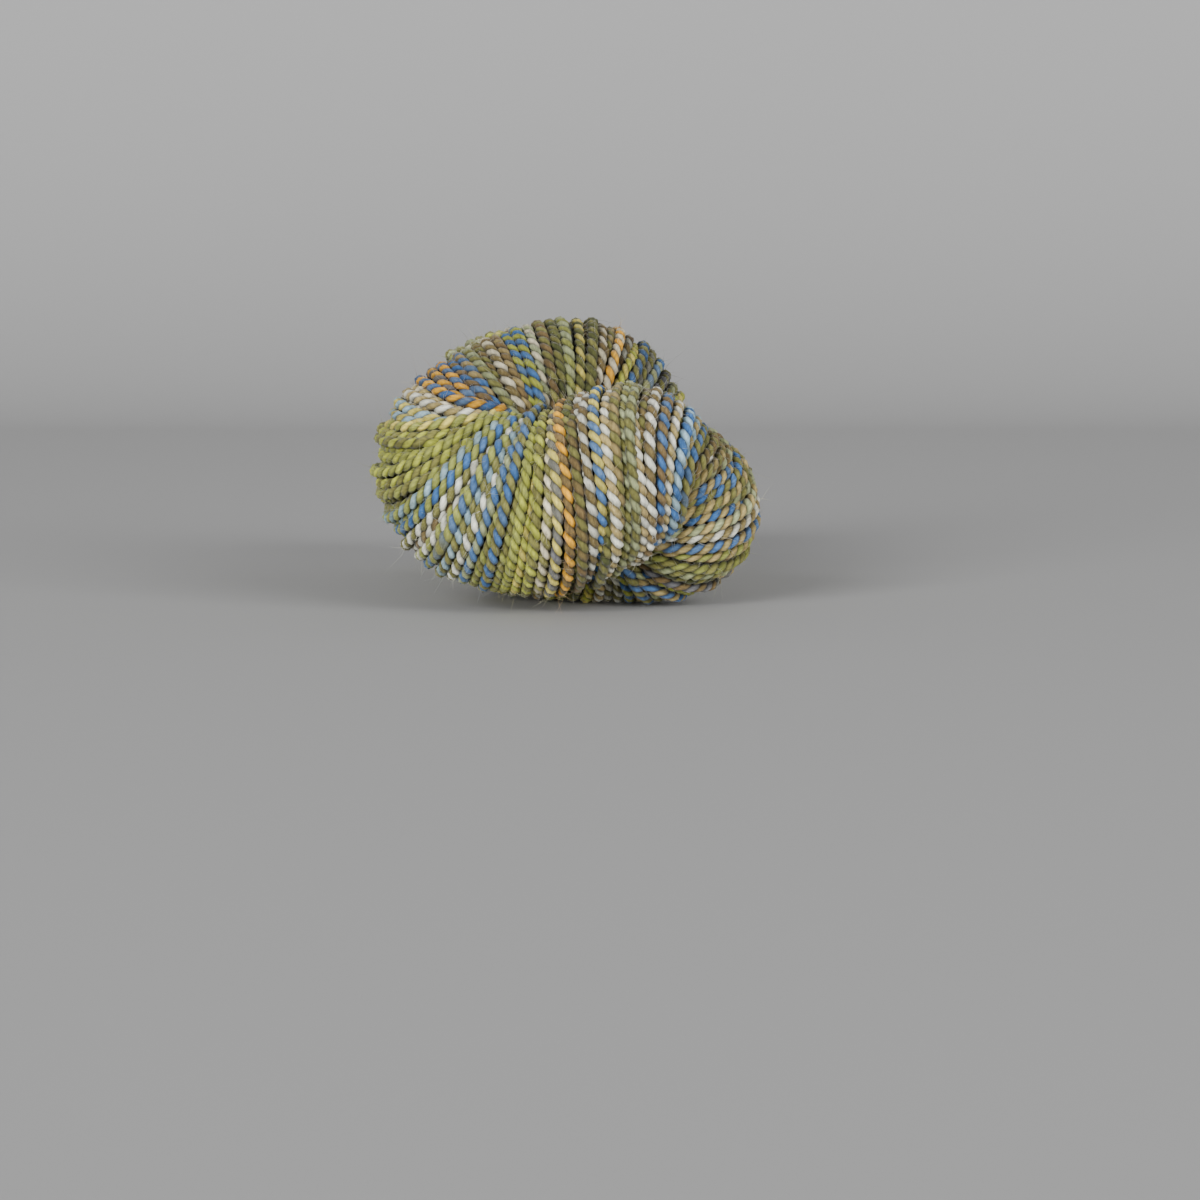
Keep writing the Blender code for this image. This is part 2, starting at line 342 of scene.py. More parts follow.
@dataclass
class Winding:
    """Lays the strands round the bundle and presses them apart until they only touch."""

    loop: Loop = field(default_factory=Loop)
    layers: tuple[Layer, ...] = (Layer(1.0, 22, 8, 7), Layer(0.88, 22, 6, 5))
    samples: int = 640
    strand_radius: float = 1.5 * MM
    fold_pitch: float = 37 * MM
    body_pitch: float = 80 * MM
    fold_spread: float = 40 * MM
    sway: float = 0.10
    sway_waves: range = range(2, 9)
    unevenness: float = 0.4 * MM
    uneven_waves: range = range(4, 40, 3)
    fill_from: float = 1.25
    fill_over: float = 0.5
    settle_above: float = 0.95
    settle_below: float = 1.05
    press_gap: float = 2.75 * MM
    press_rounds: int = 60
    press_strength: float = 0.6
    search_every: int = 6
    search_reach: float = 1.35
    hold_back: float = 0.02
    press_most: int = 3
    smoothing: float = 0.35
    smoothing_passes: int = 2
    same_strand_clear: int = 8
    axis_inset: float = 20 * MM
    buried_depth: float = 4 * MM
    buried_step: int = 4
    buried_clear: float = 2.2
    seed: int = 3
    middle: Array = field(init=False)
    radius: Array = field(init=False)
    first: Array = field(init=False)
    second: Array = field(init=False)
    turn: Array = field(init=False)
    total: float = field(init=False)
    strands: Array = field(init=False)
    layer_of: Array = field(init=False)
    passes: Array = field(init=False)
    wraps: int = field(init=False)

    def __post_init__(self) -> None:
        """Works out the bundle's frames, the strands' twist and the strands themselves."""
        self.middle, self.radius, self.total = self.loop.middle(self.samples)
        gap = self._frames()
        self._twist(gap)
        self.strands = self._press_apart(self._lay())

    def _frames(self) -> float:
        """Fills first and second, two unit directions across the bundle at each sample.

        Returns:
            The angle by which the last frame misses the first one.
        """
        forward = unit(np.roll(self.middle, -1, axis=0) - np.roll(self.middle, 1, axis=0))
        self.first = np.zeros_like(self.middle)
        guide = np.array([0.0, -1.0, 0.0])
        for k, ahead in enumerate(forward):
            guide = guide - ahead * (guide @ ahead)
            guide = guide / np.linalg.norm(guide)
            self.first[k] = guide
        self.second = np.cross(forward, self.first)
        last = self.first[-1] - forward[0] * (self.first[-1] @ forward[0])
        return math.atan2(last @ self.second[0], last @ self.first[0])

    def _twist(self, gap: float) -> None:
        """Fills turn, the strands' angle round the bundle at each sample, closed to whole turns.

        Args:
            gap: The angle by which the frames miss closing.
        """
        from_end = np.minimum(self.middle[:, 1], self.loop.length - self.middle[:, 1])
        near = bell(from_end, self.fold_spread)
        per_metre = near / self.fold_pitch + (1 - near) / self.body_pitch
        rate = FULL_TURN * per_metre * self.total / self.samples
        wound = np.concatenate([[0.0], np.cumsum(rate)])
        whole = round((gap - wound[-1]) / FULL_TURN) * FULL_TURN
        self.turn = wound[:-1] * (whole - gap) / wound[-1]

    def _lay(self) -> Array:
        """Strands wound evenly, each a little off its place.

        Returns:
            Points of each strand, one row a strand.
        """
        draw = np.random.default_rng(self.seed)
        once = np.arange(self.samples) / self.samples * FULL_TURN
        outward = self._outward_angle()
        self.wraps = round(float(outward[-1] - outward[0] - self.turn[-1]) / FULL_TURN)
        span = self.total / self.samples
        beside = np.roll(self.middle, -1, axis=0) + np.roll(self.middle, 1, axis=0)
        bend = (beside - 2 * self.middle) / span**2
        strands, layer_of, passes = [], [], []
        for index, layer in enumerate(self.layers):
            for k in range(layer.count):
                angle = FULL_TURN * (k + 0.5 * index) / layer.count + self.turn
                passes.append(layer.count * np.floor((outward - angle) / FULL_TURN + 0.5) + k)
                for wave in self.sway_waves:
                    swing = self.sway / wave * draw.normal()
                    angle = angle + swing * np.sin(wave * once + draw.uniform(0, FULL_TURN))
                lift = sum(
                    draw.normal() / math.sqrt(wave) * np.sin(wave * once + draw.uniform(0, FULL_TURN))
                    for wave in self.uneven_waves
                )
                spoke = np.cos(angle)[:, None] * self.first + np.sin(angle)[:, None] * self.second
                reach = self.radius - self.strand_radius
                stretch = 1 - reach * np.einsum("ij,ij->i", bend, spoke)
                share = layer.share + (1 - layer.share) * ease((stretch - self.fill_from) / self.fill_over)
                reach = reach * share + self.unevenness * lift
                points = self.middle + reach[:, None] * spoke
                points[:, 2] = self._settled(points[:, 2])
                strands.append(points)
                layer_of.append(index)
        self.layer_of, self.passes = np.array(layer_of), np.array(passes)
        return np.array(strands)

    def _settled(self, height: Array) -> Array:
        """Heights of points about the bundle's middle, once the bundle has settled."""
        above = height - self.middle[:, 2]
        return self.middle[:, 2] + above * np.where(above > 0, self.settle_above, self.settle_below)

    def _outward_angle(self) -> Array:
        """Angle round the bundle that looks away from the hank's long axis.

        Returns:
            The angle at each sample, without jumps.
        """
        depth = np.clip(self.middle[:, 1], self.axis_inset, self.loop.length - self.axis_inset)
        across, height = self.loop.axis(depth)
        outward = unit(self.middle - np.column_stack([across, depth, height]))
        second, first = (np.einsum("ij,ij->i", outward, side) for side in (self.second, self.first))
        return np.unwrap(np.arctan2(second, first))

    def _close_pairs(self, points: Array, reach: float) -> tuple[Array, Array]:
        """Pairs of points nearer than reach, found in a grid of cells of that size.

        Args:
            points: Every sample of every strand.
            reach: Distance in metres.

        Returns:
            Two arrays of indices.
        """
        cell = np.floor((points - points.min(axis=0)) / reach).astype(np.int64) + 1
        row, sheet = cell[:, 0].max() + 2, cell[:, 1].max() + 2
        key = cell[:, 0] + row * (cell[:, 1] + sheet * cell[:, 2])
        order = np.argsort(key, kind="stable")
        ranked = key[order]
        steps = [x + row * (y + sheet * z) for z in (0, 1) for y in (-1, 0, 1) for x in (-1, 0, 1)]
        firsts, seconds = [], []
        for step in (s for s in steps if s >= 0):
            low = np.searchsorted(ranked, key + step, "left")
            number = np.searchsorted(ranked, key + step, "right") - low
            one = np.repeat(np.arange(len(points)), number)
            before = np.repeat(np.cumsum(number) - number, number)
            other = order[np.repeat(low, number) + np.arange(number.sum()) - before]
            apart = points[one] - points[other]
            near = (apart * apart).sum(axis=1) < reach * reach
            if step == 0:
                near &= one < other
            firsts.append(one[near])
            seconds.append(other[near])
        return np.concatenate(firsts), np.concatenate(seconds)

    def _press_apart(self, laid: Array) -> Array:
        """Moves strands that run into each other until they only touch, keeping each one's own curve.

        Args:
            laid: The strands as first wound.

        Returns:
            The strands at rest.
        """
        samples, points = self.samples, laid.copy()
        points[:, :, 2] = np.maximum(points[:, :, 2], self.strand_radius)
        one = other = np.zeros(0, np.int64)
        for step in range(self.press_rounds):
            flat = points.reshape(-1, 3)
            if step % self.search_every == 0:
                one, other = self._close_pairs(flat, self.press_gap * self.search_reach)
                between = np.abs(one % samples - other % samples)
                between = np.minimum(between, samples - between)
                clear = (one // samples != other // samples) | (between > self.same_strand_clear)
                one, other = one[clear], other[clear]
            apart = flat[one] - flat[other]
            distance = np.linalg.norm(apart, axis=1) + 1e-9
            hit = distance < self.press_gap
            push = apart[hit] * ((self.press_gap - distance[hit]) / 2 / distance[hit])[:, None]
            ones, others = one[hit], other[hit]
            moved = np.column_stack([
                np.bincount(ones, push[:, k], len(flat)) - np.bincount(others, push[:, k], len(flat))
                for k in range(3)
            ])
            met = np.bincount(ones, minlength=len(flat)) + np.bincount(others, minlength=len(flat))
            share = self.press_strength * np.sqrt(np.minimum(met, self.press_most)) / np.maximum(met, 1)
            shift = ((flat + moved * share[:, None]).reshape(laid.shape) - laid) * (1 - self.hold_back)
            for _ in range(self.smoothing_passes):
                beside = (np.roll(shift, 1, axis=1) + np.roll(shift, -1, axis=1)) / 2
                shift = shift + self.smoothing * (beside - shift)
            points = laid + shift
            points[:, :, 2] = np.maximum(points[:, :, 2], self.strand_radius)
        return points

    def shift_to(self, box: tuple[Any, Any]) -> Vector:
        """How far the bundle, swept round its loop, lies from the middle of a box on the floor.

        Args:
            box: Lowest and highest corner of the box.

        Returns:
            The step that puts the bundle there.
        """
        forward = unit(np.roll(self.middle, -1, axis=0) - np.roll(self.middle, 1, axis=0))
        reach = self.radius[:, None] * np.sqrt(1 - forward**2)
        middle = ((self.middle + reach).max(axis=0) + (self.middle - reach).min(axis=0)) / 2
        return Vector([(box[0][k] + box[1][k]) / 2 - middle[k] for k in range(2)] + [0.0])

    def buried(self, strand: Array) -> Array:
        """Which samples of a strand lie deep inside the other half of the bundle.

        Args:
            strand: Points of one strand.

        Returns:
            True for each buried sample.
        """
        step = self.buried_step
        middle, radius = self.middle[::step], self.radius[::step]
        far = np.abs(np.arange(self.samples)[:, None] - np.arange(self.samples)[None, ::step])
        far = np.minimum(far, self.samples - far) * self.total / self.samples
        distance = np.linalg.norm(strand[:, None] - middle[None], axis=2)
        inside = (distance < radius[None] - self.buried_depth) & (far > self.buried_clear * radius[None])
        return inside.any(axis=1)


@dataclass(frozen=True)
class YarnBuild:
    """How the plied yarn is made: two singles twisted together, thicker and thinner by turns."""

    radius: float = 1.5 * MM
    twist_length: float = 5.5 * MM
    valley: float = 0.60
    shoulder: float = 0.80
    thick_and_thin: float = 0.07
    ply_unevenness: float = 0.07
    slub_chance: float = 0.10
    slub_swell: float = 0.16
    slub_length: float = 6 * MM
    felted_reach: float = 0.88
    felted_share: float = 0.75
    size_waves: tuple[int, ...] = (11, 23, 41, 67, 97)
    ply_waves: tuple[int, ...] = (59, 131, 211, 307, 401)


class YarnMesh:
    """Gathers tubes of plied yarn and turns them into one mesh with its colours and maps."""

    def __init__(self, name: str) -> None:
        """Starts an empty mesh.

        Args:
            name: The piece's name.
        """
        self.name, self.size = name, 0
        self.points: list[Array] = []
        self.faces: list[Array] = []
        self.caps: list[Array] = []
        self.strand_maps: list[Array] = []
        self.rows: list[tuple[int, int, float]] = []
        labels = ("ply_a", "ply_b", "slub", "open", "mark")
        self.values: dict[str, list[Array]] = {label: [] for label in labels}

    def add(self, rings: Array, along: Array, closed: bool, values: dict[str, Array]) -> None:
        """Adds one tube.

        Args:
            rings: Points, as rings by sides by 3.
            along: Distance along the yarn at each ring, in metres.
            closed: Whether the last ring meets the first.
            values: At each ring both plies' linear colours, how far it is inside a felted place and the
            strand's own number; and how far each point faces out of the hank, from which the finish paints
            shade on the sides that face in.
        """
        count, sides = rings.shape[:2]
        faces = tube_faces(count, sides, closed)
        spans, step = len(faces) // sides, along[1] - along[0]
        side, none = np.arange(sides)[None], np.zeros((spans, 1))
        low, left = along[:spans, None] + 0 * side, side / sides + none
        high, right = low + step, (side + 1) / sides + none
        self.faces.append(faces + self.size)
        self.strand_maps.append(corner_map((low, left), (low, right), (high, right), (high, left)))
        self.rows.append((spans, sides, step))
        self.points.append(rings.reshape(-1, 3))
        for label, store in self.values.items():
            value = values[label]
            store.append(value.reshape(-1) if label == "open" else np.repeat(value, sides, axis=0))
        if not closed:
            ends = np.arange(count * sides).reshape(count, sides) + self.size
            self.caps += [ends[:1, ::-1], ends[-1:]]
        self.size += count * sides

    def _bake_map(self) -> Array:
        """Lays each tube out as strips, row under row, in one square map.

        Returns:
            Map coordinates of each corner of each side face.
        """
        across = math.sqrt(sum(spans * step for spans, _, step in self.rows) * STRIP_WIDTH * STRIP_SPARE)
        row, cursor, placed = 0, 0.0, []
        for spans, sides, step in self.rows:
            start, line, done = np.zeros((spans, 1)), np.zeros((spans, 1), np.int64), 0
            while done < spans:
                room = int((across - cursor) / step)
                if room < SHORTEST_STRIP:
                    row, cursor, room = row + 1, 0.0, max(1, int(across / step))
                take = min(room, spans - done)
                start[done:done + take, 0] = cursor + np.arange(take) * step
                line[done:done + take] = row
                cursor += take * step + step
                done += take
            placed.append((start, line, sides, step))
        high, inner, out = 1.0 / (row + 1), 1 - 2 * STRIP_EDGE, []
        for start, line, sides, step in placed:
            side = np.arange(sides)[None]
            left = start / across + 0 * side
            right = left + step / across
            low = (line + STRIP_EDGE + inner * side / sides) * high
            top = low + inner / sides * high
            out.append(corner_map((left, low), (left, top), (right, top), (right, low)))
        return np.minimum(np.concatenate(out), 1.0)

    def build(self) -> bpy.types.Object:
        """Makes the mesh object.

        Returns:
            The object, linked to the scene.
        """
        ends = np.zeros((sum(cap.size for cap in self.caps), 2))
        maps = {
            "OFBake": np.concatenate([self._bake_map(), ends]),
            "strand": np.concatenate([*self.strand_maps, ends]),
        }
        values = {label: np.concatenate(store) for label, store in self.values.items()}
        faces = [np.concatenate(self.faces), *self.caps]
        return mesh_object(self.name, np.concatenate(self.points), faces, maps, values)


def curve_through(points: Array, count: int) -> tuple[Array, Array]:
    """A smooth closed curve through points, sampled evenly along its length.

    Args:
        points: Samples once round the curve.
        count: How many points to return.

    Returns:
        The new points, and where each lies in the old samples, as a number with a fraction.
    """
    closed = np.vstack([points, points[:1]])
    along = np.concatenate([[0.0], np.cumsum(np.linalg.norm(np.diff(closed, axis=0), axis=1))])
    place = np.interp(np.linspace(0, along[-1], count, endpoint=False), along, np.arange(len(closed)))
    low = np.floor(place).astype(int)
    t = (place - low)[:, None]
    n = len(points)
    a, b, c, d = (points[(low + k) % n] for k in (-1, 0, 1, 2))
    curved = 0.5 * (
        2 * b + (c - a) * t + (2 * a - 5 * b + 4 * c - d) * t**2 + (3 * b - a - 3 * c + d) * t**3
    )
    return curved, place


@dataclass
class Hank:
    """The wound strands of the hank, as meshes of plied yarn."""

    winding: Winding
    yarn: YarnBuild = field(default_factory=YarnBuild)
    pieces: tuple[int, int] = (4, 2)
    blend_samples: int = 5
    colour_keep: float = 0.45
    colour_beside: float = 0.18
    shade_spread: float = 0.13
    shade_waves: tuple[int, ...] = (3, 7, 13, 29, 53)
    heather: Dye = Dye.OLIVE
    heather_share: float = 0.22
    heather_waves: tuple[int, ...] = (5, 11, 23, 47, 83, 131)
    charted_fill: tuple[int, int] = (-28, -18)
    # The passes over the top lobe are darkened, a painted shade.
    upper_passes: tuple[int, int] = (-56, -29)
    upper_painted_shade: float = 0.68
    felted: tuple[float, float, float] = (-32.2 * MM, -5.0 * MM, 16.7 * MM)
    felted_length: float = 5 * MM
    felt_share: float = 0.8
    # The next three values paint shade: the inner layer is darkened, and each strand darkens on the sides
    # that face into the hank.
    inner_shade: float = 0.2
    painted_light_from: float = -0.45
    painted_light_over: float = 1.15
    seed: int = 11
    surface: list[tuple[Array, Array, Array]] = field(default_factory=list)

    def _pass_colours(self) -> dict[int, Pair]:
        """Ply colours of each pass of the outer strands over the outside of the bundle.

        Returns:
            The pair for each pass, by its number along the bundle.
        """
        outer = self.winding.layers[0]
        draw = np.random.default_rng(self.seed)
        low, high = -2 * outer.count, (self.winding.wraps + 2) * outer.count
        found: dict[int, Pair] = {}
        for number in range(low, high):
            before = found.get(number - outer.count)
            beside = found.get(number - 1)
            choice = draw.random()
            if before and choice < self.colour_keep:
                found[number] = before
            elif beside and choice < self.colour_keep + self.colour_beside:
                found[number] = beside
            else:
                found[number] = SPUN_PAIRS[draw.integers(len(SPUN_PAIRS))]
        return found

    def _colours(self, passes: Array, spans: int, along_share: Array, draw: np.random.Generator,
                 table: dict[int, Pair], whole: int, level: int) -> tuple[Array, Array]:
        """Linear colours of both plies at each ring of a strand.

        Args:
            passes: Number of the pass at each sample of the strand.
            spans: Number of rings.
            along_share: Place of each ring in the samples.
            draw: Source of chance.
            table: Pair of each pass.
            whole: How many passes make the loop.
            level: The strand's layer, 0 outside.

        Returns:
            Two arrays of colour, one a ply.
        """
        numbers = np.rint(passes).astype(int)
        pairs = []
        for number in numbers:
            inside = number % whole
            signed = inside - whole if inside > whole // 2 else inside
            low, high = self.charted_fill
            if level and abs(signed) <= len(LEFT_PAIRS) and not low <= signed <= high:
                pair = FILL_PAIRS[inside % len(FILL_PAIRS)]
            elif 0 <= signed < len(RIGHT_PAIRS):
                pair = RIGHT_PAIRS[signed]
            elif -len(LEFT_PAIRS) <= signed < 0:
                pair = LEFT_PAIRS[-signed - 1]
            else:
                pair = table[inside]
            # Painted shade: the passes over the top lobe are darkened.
            upper = self.upper_passes[0] <= signed <= self.upper_passes[1]
            pairs.append(np.array([dye.light() for dye in pair]) * (self.upper_painted_shade if upper else 1.0))
        plies = np.array(pairs)
        width = self.blend_samples
        kernel = np.hanning(2 * width + 3)[1:-1]
        kernel /= kernel.sum()
        smooth = sum(weight * np.roll(plies, k - width, axis=0) for k, weight in enumerate(kernel))
        low = np.floor(along_share).astype(int) % len(plies)
        t = (along_share - np.floor(along_share))[:, None]
        out = []
        for ply in range(2):
            colour = smooth[low, ply] * (1 - t) + smooth[(low + 1) % len(plies), ply] * t
            drift = 1 + self.shade_spread / 2 * ripple(spans, self.shade_waves, draw)
            mixed = ripple(spans, self.heather_waves, draw) / 2
            mixed = (self.heather_share * ease((mixed + 1) / 2))[:, None]
            colour = colour * (1 - mixed) + np.array(self.heather.light()) * mixed
            out.append(np.clip(colour * drift[:, None], 0.01, 1.0))
        return out[0], out[1]

    def _slubs(self, count: int, step: float, draw: np.random.Generator) -> Array:
        """Felted thick places at chance rings of a strand.

        Args:
            count: How many rings the strand has.
            step: Distance between them.
            draw: Source of chance.

        Returns:
            How far each ring is inside such a place, 0 to 1.
        """
        slub = np.zeros(count)
        length = count * step
        for _ in range(draw.poisson(self.yarn.slub_chance * length / 0.1)):
            at = draw.integers(count)
            away = np.abs(np.arange(count) - at)
            away = np.minimum(away, count - away) * step
            slub = np.maximum(slub, draw.uniform(0.4, 1.0) * bell(away, self.yarn.slub_length))
        return slub

    def _rings(
        self, strand: Array, layer: Layer, draw: np.random.Generator, felted: bool
    ) -> dict[str, Array]:
        """Rings of one strand, with the plies twisted round each other.

        Args:
            strand: Points of the strand.
            layer: The layer it is in.
            draw: Source of chance.
            felted: Whether the felted place is on this strand.

        Returns:
            The rings, their middles, places, slubs and distances along.
        """
        closed = np.vstack([strand, strand[:1]])
        length = np.linalg.norm(np.diff(closed, axis=0), axis=1).sum()
        twists = round(length / self.yarn.twist_length)
        count = twists * layer.rings_per_twist
        middle, place = curve_through(strand, count)
        ahead = unit(np.roll(middle, -1, axis=0) - np.roll(middle, 1, axis=0))
        low = np.floor(place).astype(int) % self.winding.samples
        after = (low + 1) % self.winding.samples
        t = (place - np.floor(place))[:, None]
        core = self.winding.middle[low] * (1 - t) + self.winding.middle[after] * t
        outward = middle - core
        outward = unit(outward - ahead * np.einsum("ij,ij->i", outward, ahead)[:, None])
        sideways = np.cross(ahead, outward)
        step = length / count
        slub = self._slubs(count, step, draw)
        if felted:
            away = np.linalg.norm(middle - np.array(self.felted), axis=1)
            slub = np.maximum(slub, bell(away, self.felted_length))
        size = 1 + self.yarn.thick_and_thin / 2 * ripple(count, self.yarn.size_waves, draw)
        size = size * (1 + self.yarn.slub_swell * slub)
        turn = draw.uniform(0, FULL_TURN) - FULL_TURN * np.arange(count) / layer.rings_per_twist
        side = np.arange(layer.sides) / layer.sides * FULL_TURN
        lobes = np.abs(np.cos(side))
        reach = self.yarn.valley + (1 - self.yarn.valley) * lobes ** (1 / self.yarn.shoulder)
        felt = self.yarn.felted_share * slub[:, None]
        reach = reach[None] + (self.yarn.felted_reach - reach[None]) * felt
        once = np.arange(count) / count * FULL_TURN
        for front in (1, -1):
            uneven = sum(
                draw.normal() * np.sin(once * wave + draw.uniform(0, FULL_TURN))
                for wave in self.yarn.ply_waves
            )
            facing = np.maximum(front * np.cos(side), 0.0)
            reach = reach * (1 + self.yarn.ply_unevenness / 2 * uneven[:, None] * facing[None])
        angle = turn[:, None] + side[None]
        spoke = np.cos(angle)[..., None] * outward[:, None] + np.sin(angle)[..., None] * sideways[:, None]
        rings = middle[:, None] + (self.yarn.radius * size)[:, None, None] * reach[..., None] * spoke
        rings[..., 2] = np.maximum(rings[..., 2], FLOOR_GAP)
        return {
            "rings": rings, "middle": middle, "place": place, "slub": slub,
            "along": np.arange(count) * step, "outward": outward,
            # Painted shade: how far each point faces out of the hank, from which the finish darkens the
            # sides that face in.
            "open": ease((np.cos(angle) - self.painted_light_from) / self.painted_light_over),
        }

    def _runs(self, hidden: Array) -> list[tuple[int, int]]:
        """Stretches of a closed strand that aren't hidden.

        Args:
            hidden: Whether each ring is hidden.

        Returns:
            The first ring and the number of rings of each, or none where the whole strand shows.
        """
        if not hidden.any():
            return []
        shown = ~hidden
        start = int(np.argmax(hidden))
        turned = np.roll(shown, -start)
        edges = np.flatnonzero(np.diff(np.concatenate([[0], turned.astype(int), [0]])))
        pairs = zip(edges[::2], edges[1::2])
        return [((a + start) % len(hidden), b - a) for a, b in pairs if b - a > FEWEST_RINGS]

    def build(self) -> list[bpy.types.Object]:
        """Builds every strand.

        Returns:
            The pieces, outer ones first.
        """
        winding, draw = self.winding, np.random.default_rng(self.seed + 1)
        table = self._pass_colours()
        outer = winding.layers[0]
        sheets = [
            [YarnMesh(f"strands_{place}_{k + 1}") for k in range(pieces)]
            for place, pieces in zip(("outer", "inner"), self.pieces)
        ]
        away = np.linalg.norm(winding.strands[:outer.count] - np.array(self.felted), axis=2)
        felted_strand = int(away.min(axis=1).argmin())
        for index, strand in enumerate(winding.strands):
            level = int(winding.layer_of[index])
            layer = winding.layers[level]
            number = index - level * outer.count
            mesh = sheets[level][number * self.pieces[level] // layer.count]
            made = self._rings(strand, layer, draw, index == felted_strand)
            count = len(made["middle"])
            whole = layer.count * winding.wraps
            colours = self._colours(winding.passes[index], count, made["place"], draw, table, whole, level)
            felt = (self.felt_share * made["slub"])[:, None]
            heather = np.array(self.heather.light())
            colours = [colour * (1 - felt) + heather * felt for colour in colours]
            hidden = winding.buried(strand)[np.rint(made["place"]).astype(int) % winding.samples]
            runs = self._runs(hidden)
            for start, length in runs or [(0, count)]:
                pick = (start + np.arange(length)) % count
                one, other = (colour[pick] for colour in colours)
                along = made["along"][start] + np.arange(length) * made["along"][1]
                mesh.add(made["rings"][pick], along, not runs, {
                    "ply_a": one, "ply_b": other, "slub": made["slub"][pick],
                    # Painted shade on the sides that face in, darker still on the inner layer.
                    "open": made["open"][pick] * (1 - self.inner_shade * level),
                    "mark": np.full(length, index * STRAND_MARK),
                })
                if level == 0:
                    self.surface.append((made["middle"][pick], made["outward"][pick], (one + other) / 2))
        return [mesh.build() for sheet in sheets for mesh in sheet]


@dataclass
class StrayFibres:
    """Fine fibres that stand off the yarn and give it a soft edge."""

    surface: list[tuple[Array, Array, Array]]
    count: int = 9500
    thickness: float = 0.10 * MM
    shortest: float = 1.5 * MM
    longest: float = 5.0 * MM
    joints: int = 3
    sides: int = 3
    lift: float = 0.8
    root_share: float = 0.8
    spread: float = 0.75
    lean: float = 0.6
    curl: float = 0.55
    curl_share: float = 0.6
    tip_curl: float = 0.4
    tip_thinning: float = 0.8
    paler: tuple[float, float] = (0.75, 0.18)
    seed: int = 29

    def build(self, yarn_radius: float) -> bpy.types.Object:
        """Builds all the fibres as one mesh of thin tapering tubes.

        Args:
            yarn_radius: The strands' radius.

        Returns:
            The piece.
        """
        draw = np.random.default_rng(self.seed)
        middle, outward, colour = (np.concatenate(parts) for parts in zip(*self.surface))
        ahead = unit(np.concatenate([np.gradient(part[0], axis=0) for part in self.surface]))
        pick = draw.integers(len(middle), size=self.count)
        root, up, forward = middle[pick], outward[pick], ahead[pick]
        across = np.cross(forward, up)
        turn = draw.normal(0, self.spread, self.count)[:, None]
        normal = unit(up * np.cos(turn) + across * np.sin(turn))
        start = root + normal * yarn_radius * self.root_share
        length = self.shortest + (self.longest - self.shortest) * draw.random(self.count) ** 2
        lean = draw.normal(0, 1, (self.count, 3))
        heading = unit(forward * draw.choice([-1, 1], self.count)[:, None] + self.lean * lean)
        rise = self.lift * draw.random(self.count)[:, None] ** 1.5
        heading = unit(heading + (rise - np.einsum("ij,ij->i", heading, normal)[:, None]) * normal)
        curl = draw.normal(0, self.curl, (self.count, 3))
        share = np.linspace(0, 1, self.joints)[None, :, None]
        step = length[:, None, None] * share
        path = start[:, None] + step * heading[:, None] + step * share * curl[:, None] * self.curl_share
        path = path + step * share**2 * draw.normal(0, self.tip_curl, (self.count, 1, 3))
        direction = unit(np.gradient(path, axis=1))
        side = unit(np.cross(direction, normal[:, None] + 1e-3))
        other = np.cross(direction, side)
        angle = np.arange(self.sides) / self.sides * FULL_TURN
        taper = (1 - self.tip_thinning * share) * self.thickness / 2
        ring = np.cos(angle)[:, None] * side[:, :, None] + np.sin(angle)[:, None] * other[:, :, None]
        points = path[:, :, None] + taper[..., None] * ring
        points[..., 2] = np.maximum(points[..., 2], FLOOR_GAP)
        each = self.joints * self.sides
        base = (np.arange(self.count) * each)[:, None, None]
        ends = np.array([range(self.sides - 1, -1, -1), range(each - self.sides, each)])
        faces = [
            (tube_faces(self.joints, self.sides, False)[None] + base).reshape(-1, 4),
            (ends[None] + base).reshape(-1, self.sides),
        ]
        shown, added = self.paler
        tint = np.repeat(colour[pick] * shown + added, each, axis=0)
        maps = {"OFBake": self._bake_map(np.concatenate([part.ravel() for part in faces]))}
        return mesh_object("stray_fibres", points.reshape(-1, 3), faces, maps, {"fibre": tint})

    def _bake_map(self, loops: Array) -> Array:
        """Gives each fibre a cell of its own in a square map.

        Args:
            loops: The vertex number of each corner of each face.

        Returns:
            Map coordinates of each corner.
        """
        each, cells = self.joints * self.sides, math.ceil(math.sqrt(self.count))
        owner = loops // each
        joint = loops % each // self.sides / (self.joints - 1)
        corner = loops % self.sides / (self.sides - 1)
        edge = 0.15
        places = ((owner % cells, joint), (owner // cells, corner))
        return np.column_stack([(cell + edge + (1 - 2 * edge) * share) / cells for cell, share in places])


@dataclass
class Core:
    """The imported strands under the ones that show, as one ridged bundle."""

    winding: Winding
    share: float = 0.66
    rings: int = 260
    sides: int = 60
    ridge: float = 0.35 * MM
    ridge_sides: int = 4
    floor_gap: float = 0.4 * MM

    def build(self) -> bpy.types.Object:
        """Sweeps the ridged bundle round the loop.

        Returns:
            The piece.
        """
        winding = self.winding
        pick = np.arange(self.rings) * winding.samples // self.rings
        side = np.arange(self.sides) / self.sides * FULL_TURN
        angle = side[None] + winding.turn[pick][:, None]
        ridge = self.ridge * np.cos(side * self.sides / self.ridge_sides)
        reach = winding.radius[pick][:, None] * self.share + ridge[None]
        spoke = (
            np.cos(angle)[..., None] * winding.first[pick][:, None]
            + np.sin(angle)[..., None] * winding.second[pick][:, None]
        )
        points = winding.middle[pick][:, None] + reach[..., None] * spoke
        points[..., 2] = np.maximum(points[..., 2], self.floor_gap)
        faces = tube_faces(self.rings, self.sides, True)
        return mesh_object("packed_core", points.reshape(-1, 3), [faces])


def math_step(operation: str, swapped: bool = False) -> Callable[..., "Wire"]:
    """A method of Wire that adds one Math node.

    Args:
        operation: Blender's name of the step.
        swapped: Whether the wire is the last value, as in 1 less the wire.

    Returns:
        The method.
    """

    def step(wire: "Wire", *others: Any) -> "Wire":
        """Adds the node on this wire and the others."""
        values = (*others, wire) if swapped else (wire, *others)
        node = wire.bench.node("ShaderNodeMath", {"operation": operation}, dict(enumerate(values)))
        return Wire(wire.bench, node.outputs[0])

    return step


